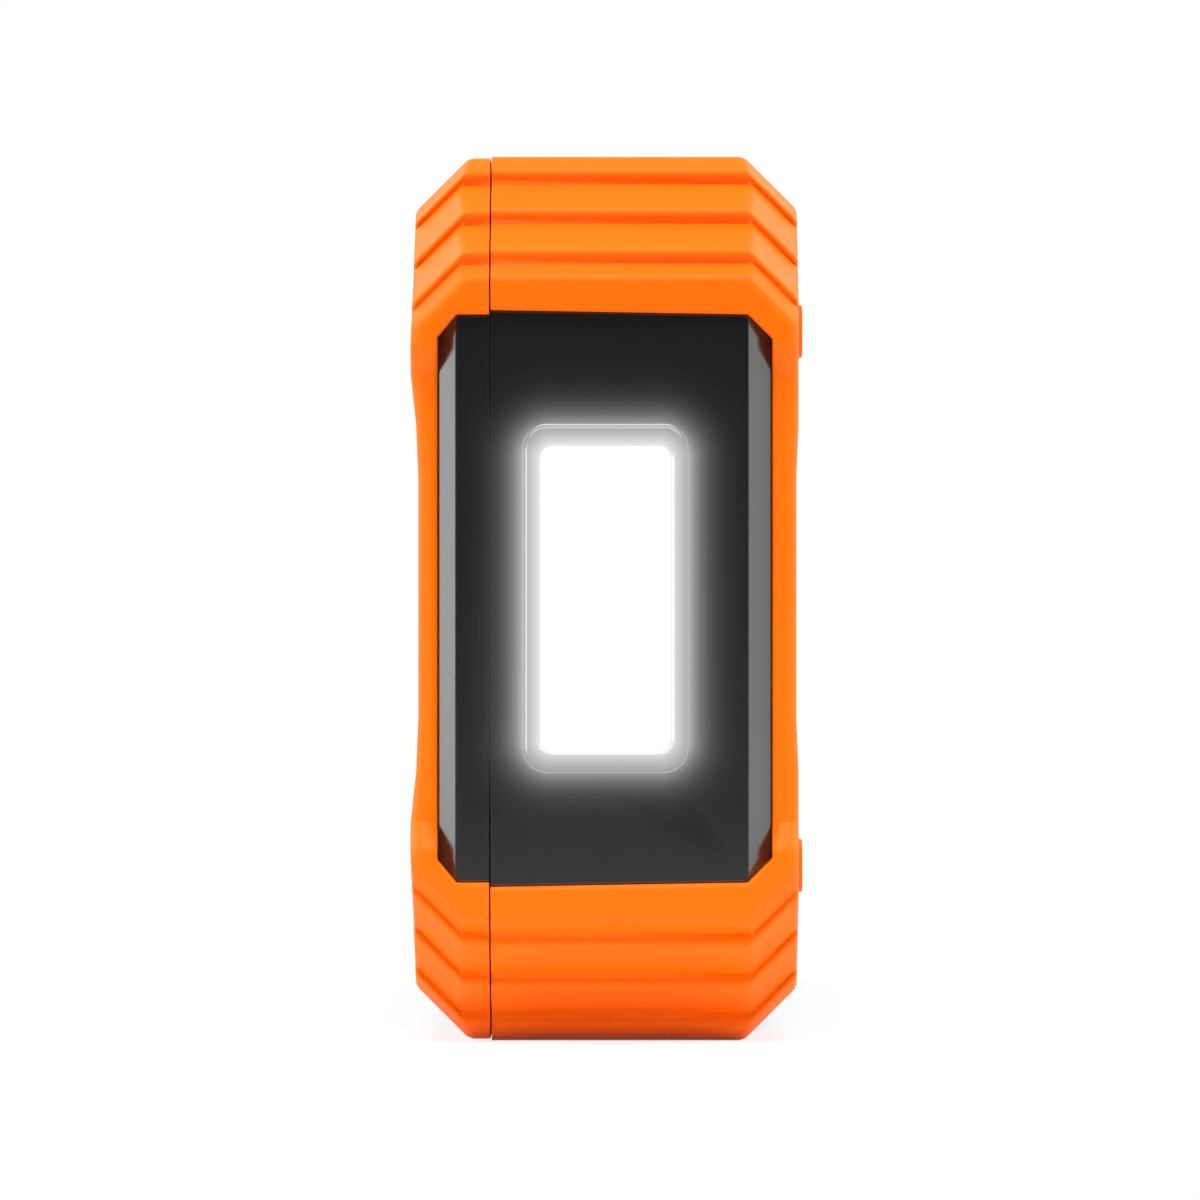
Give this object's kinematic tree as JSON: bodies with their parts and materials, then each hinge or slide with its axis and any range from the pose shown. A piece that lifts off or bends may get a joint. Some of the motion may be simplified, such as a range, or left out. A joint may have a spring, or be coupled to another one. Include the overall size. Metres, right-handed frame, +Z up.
{
  "type": "jump starter pack",
  "caption": "Portable car battery jump starter: black case with ribbed orange end bumpers, a lamp in one end and covered power sockets in the other.",
  "frame": {"origin": "centre of the bounding box's bottom face, on the surface that the pack stands on", "axes": "+Z up, with the pack standing on one of its long narrow sides; +Y along its length from the lamp end to the socket end; +X through its thickness, from the display face to the rear face with the pads"},
  "size_m": [0.036, 0.176, 0.082],
  "materials": {
    "shell_black": "fine satin",
    "bumper_orange": "satin soft-touch overmould",
    "frame_black": "satin",
    "lens_white": "frosted, lit",
    "reflector_white": "gloss",
    "board_green": "satin",
    "chip_yellow": "gloss",
    "screw_steel": "zinc plated",
    "window_black": "gloss",
    "display_grey": "satin",
    "button_black": "satin",
    "plunger_grey": "matte",
    "switch_steel": "satin",
    "ferrite_grey": "matte",
    "capacitor_can": "satin sleeve",
    "cell_pouch": "satin foil",
    "foam_black": "matte",
    "tab_nickel": "satin",
    "lead_red": "satin",
    "lead_black": "satin",
    "socket_blue": "satin",
    "contact_brass": "gold flash",
    "header_brass": "satin",
    "port_steel": "satin",
    "dc_black": "gloss",
    "cover_rubber": "matte"
  },
  "bodies": {
    "case": {"front_shell": "shell_black", "rear_shell": "shell_black", "front_bumper_lamp_end": "bumper_orange", "rear_bumper_lamp_end": "bumper_orange", "front_bumper_socket_end": "bumper_orange", "rear_bumper_socket_end": "bumper_orange", "lamp_frame": "frame_black", "lamp_lens": "lens_white", "lamp_reflector": "reflector_white", "lamp_board": "board_green", "lamp_chips": "chip_yellow", "lamp_screws": "screw_steel", "lamp_leads": "lead_red", "display_window": "window_black", "display_module": "display_grey", "switch_body": "switch_steel", "control_board": "board_green", "power_inductor": "ferrite_grey", "capacitors": "capacitor_can", "board_screws": "screw_steel", "cell_front": "cell_pouch", "cell_middle": "cell_pouch", "cell_rear": "cell_pouch", "foam_front": "foam_black", "foam_rear": "foam_black", "cell_tabs": "tab_nickel", "balance_board": "board_green", "positive_lead": "lead_red", "negative_lead": "lead_black", "jump_socket": "socket_blue", "positive_contact": "contact_brass", "negative_contact": "contact_brass", "output_board": "board_green", "board_header": "header_brass", "usb_a_socket": "port_steel", "usb_c_socket": "port_steel", "dc_socket": "dc_black", "jump_cover_anchor": "cover_rubber", "port_cover_anchor": "cover_rubber", "case_screws": "screw_steel"},
    "button": {"power_button": "button_black", "switch_plunger": "plunger_grey"},
    "jump_cover": {"jump_cover": "cover_rubber"},
    "port_cover": {"port_cover": "cover_rubber"}
  },
  "joints": [
    {"name": "power_button_press", "type": "slide", "parent": "case", "child": "button", "axis": [1, 0, 0], "range_m": [0, 0.0006], "stiffness_N_per_m": 1000, "springref_m": -0.0003},
    {"name": "jump_cover_hinge", "type": "hinge", "parent": "case", "child": "jump_cover", "pos_m": [0.0114, 0.08645, 0.02855], "axis": [0, 0, -1], "range_deg": [0, 115]},
    {"name": "port_cover_hinge", "type": "hinge", "parent": "case", "child": "port_cover", "pos_m": [0.0114, 0.08645, 0.05345], "axis": [0, 0, -1], "range_deg": [0, 115]}
  ]
}
